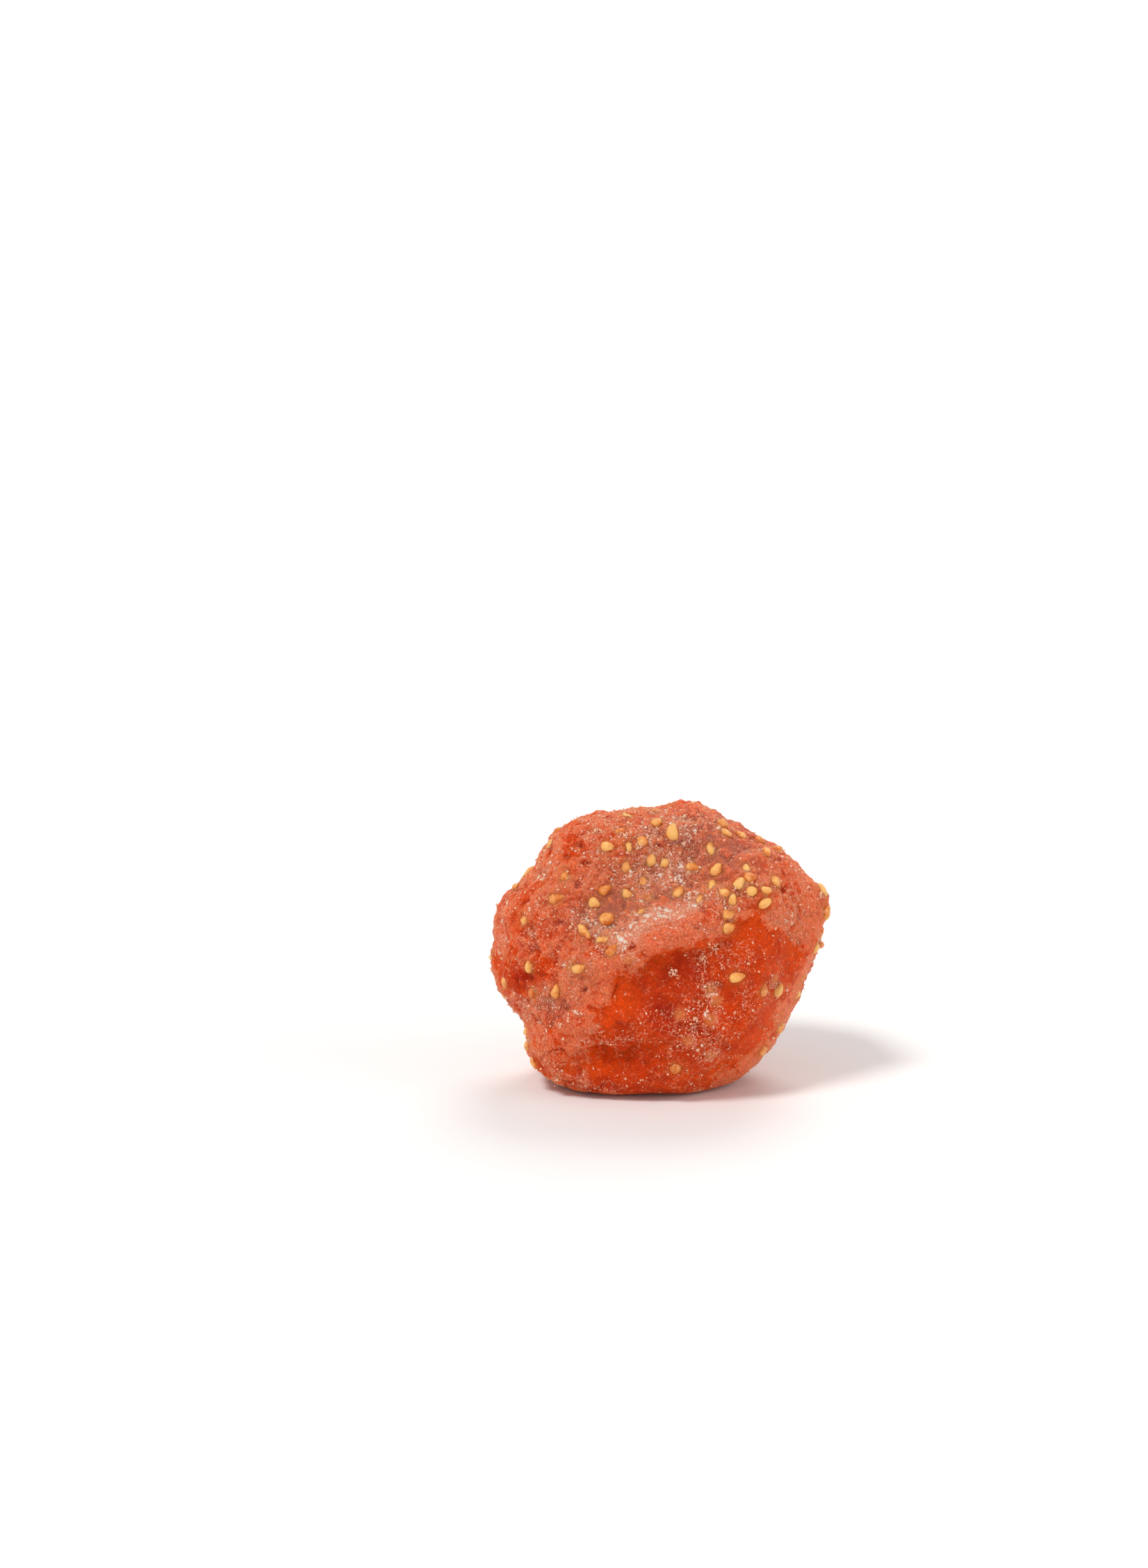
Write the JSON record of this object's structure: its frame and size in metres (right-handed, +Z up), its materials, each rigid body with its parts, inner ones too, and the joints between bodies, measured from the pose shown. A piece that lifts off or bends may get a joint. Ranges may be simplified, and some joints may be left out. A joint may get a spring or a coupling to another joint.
{
  "type": "dried strawberry",
  "caption": "Whole sugar-dried strawberry: a soft, lumpy, flattened fruit with a hull hollow, creases and proud yellow seeds, standing on a small flat spot.",
  "frame": {"origin": "on the surface the fruit rests on, under the middle of its box", "axes": "+X to the right along the fruit's width, +Y towards its blunt tip and away from the broad face, +Z up"},
  "size_m": [0.0298, 0.0206, 0.0243],
  "materials": {
    "flesh": "translucent red candied flesh, soft satin, with a pinkish sugar bloom",
    "seeds": "golden yellow achenes, smooth and faintly glossy, fused into the flesh in the solid",
    "sugar": "fine white sugar grains, translucent and sparkling, only in the visual model"
  },
  "bodies": {
    "root": {"dried_strawberry": "flesh"}
  },
  "joints": []
}
